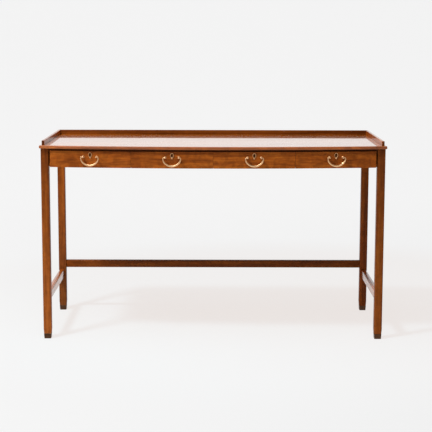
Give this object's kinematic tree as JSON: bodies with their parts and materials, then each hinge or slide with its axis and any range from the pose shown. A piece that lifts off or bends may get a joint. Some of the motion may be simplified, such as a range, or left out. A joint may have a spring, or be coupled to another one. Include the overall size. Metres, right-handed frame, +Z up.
{
  "type": "bow-fronted writing desk",
  "caption": "Bow-fronted mahogany writing desk with a low gallery, a row of lipped drawers with brass bails, square legs, side and rear stretchers and metal foot caps.",
  "frame": {"origin": "on the floor, under the middle of the top", "axes": "+X to the right seen from the front, +Y to the back, +Z up; the drawers open along -Y"},
  "size_m": [1.32, 0.6086, 0.7685],
  "materials": {
    "mahogany": "French-polished mahogany",
    "drawer_lining": "waxed pale hardwood",
    "brass": "lacquered polished brass",
    "dark_brass": "darkened brass",
    "steel": "plain steel"
  },
  "bodies": {
    "frame": {"lower_front_rail": "mahogany", "upper_front_rail": "mahogany", "side_apron_left": "mahogany", "side_apron_right": "mahogany", "side_stretcher_left": "mahogany", "side_stretcher_right": "mahogany", "rear_stretcher": "mahogany", "divider_1": "mahogany", "divider_2": "mahogany", "divider_3": "mahogany", "rear_apron": "mahogany", "corner_blocks": "drawer_lining", "drawer_runners": "drawer_lining", "drawer_kickers": "drawer_lining", "top_panel": "mahogany", "gallery_back": "mahogany", "gallery_left": "mahogany", "gallery_right": "mahogany", "leg_front_left": "mahogany", "leg_rear_left": "mahogany", "leg_front_right": "mahogany", "leg_rear_right": "mahogany", "sabots": "dark_brass"},
    "drawer_1": {"drawer_1_front": "mahogany", "drawer_1_sides": "drawer_lining", "drawer_1_back": "drawer_lining", "drawer_1_bottom": "drawer_lining", "drawer_1_lock_case": "steel", "drawer_1_escutcheon": "brass", "drawer_1_handle_posts": "brass"},
    "bail_1": {"drawer_1_bail": "brass"},
    "lock_bolt_1": {"drawer_1_lock_bolt": "steel"},
    "drawer_2": {"drawer_2_front": "mahogany", "drawer_2_sides": "drawer_lining", "drawer_2_back": "drawer_lining", "drawer_2_bottom": "drawer_lining", "drawer_2_lock_case": "steel", "drawer_2_escutcheon": "brass", "drawer_2_handle_posts": "brass"},
    "bail_2": {"drawer_2_bail": "brass"},
    "lock_bolt_2": {"drawer_2_lock_bolt": "steel"},
    "drawer_3": {"drawer_3_front": "mahogany", "drawer_3_sides": "drawer_lining", "drawer_3_back": "drawer_lining", "drawer_3_bottom": "drawer_lining", "drawer_3_lock_case": "steel", "drawer_3_escutcheon": "brass", "drawer_3_handle_posts": "brass"},
    "bail_3": {"drawer_3_bail": "brass"},
    "lock_bolt_3": {"drawer_3_lock_bolt": "steel"},
    "drawer_4": {"drawer_4_front": "mahogany", "drawer_4_sides": "drawer_lining", "drawer_4_back": "drawer_lining", "drawer_4_bottom": "drawer_lining", "drawer_4_lock_case": "steel", "drawer_4_escutcheon": "brass", "drawer_4_handle_posts": "brass"},
    "bail_4": {"drawer_4_bail": "brass"},
    "lock_bolt_4": {"drawer_4_lock_bolt": "steel"}
  },
  "joints": [
    {"name": "drawer_1_slide", "type": "slide", "parent": "frame", "child": "drawer_1", "axis": [0, -1, 0], "range_m": [0, 0.3]},
    {"name": "bail_1_swing", "type": "hinge", "parent": "drawer_1", "child": "bail_1", "pos_m": [-0.46628, -0.27963, 0.7105], "axis": [-0.9943, 0.1064, 0], "range_deg": [0, 100]},
    {"name": "lock_bolt_1_shoot", "type": "slide", "parent": "drawer_1", "child": "lock_bolt_1", "axis": [0, 0, 1], "range_m": [0, 0.008]},
    {"name": "drawer_2_slide", "type": "slide", "parent": "frame", "child": "drawer_2", "axis": [0, -1, 0], "range_m": [0, 0.3]},
    {"name": "bail_2_swing", "type": "hinge", "parent": "drawer_2", "child": "bail_2", "pos_m": [-0.15543, -0.30174, 0.7105], "axis": [-0.9994, 0.0355, 0], "range_deg": [0, 100]},
    {"name": "lock_bolt_2_shoot", "type": "slide", "parent": "drawer_2", "child": "lock_bolt_2", "axis": [0, 0, 1], "range_m": [0, 0.008]},
    {"name": "drawer_3_slide", "type": "slide", "parent": "frame", "child": "drawer_3", "axis": [0, -1, 0], "range_m": [0, 0.3]},
    {"name": "bail_3_swing", "type": "hinge", "parent": "drawer_3", "child": "bail_3", "pos_m": [0.15543, -0.30174, 0.7105], "axis": [-0.9994, -0.0355, 0], "range_deg": [0, 100]},
    {"name": "lock_bolt_3_shoot", "type": "slide", "parent": "drawer_3", "child": "lock_bolt_3", "axis": [0, 0, 1], "range_m": [0, 0.008]},
    {"name": "drawer_4_slide", "type": "slide", "parent": "frame", "child": "drawer_4", "axis": [0, -1, 0], "range_m": [0, 0.3]},
    {"name": "bail_4_swing", "type": "hinge", "parent": "drawer_4", "child": "bail_4", "pos_m": [0.46628, -0.27963, 0.7105], "axis": [-0.9943, -0.1064, 0], "range_deg": [0, 100]},
    {"name": "lock_bolt_4_shoot", "type": "slide", "parent": "drawer_4", "child": "lock_bolt_4", "axis": [0, 0, 1], "range_m": [0, 0.008]}
  ]
}
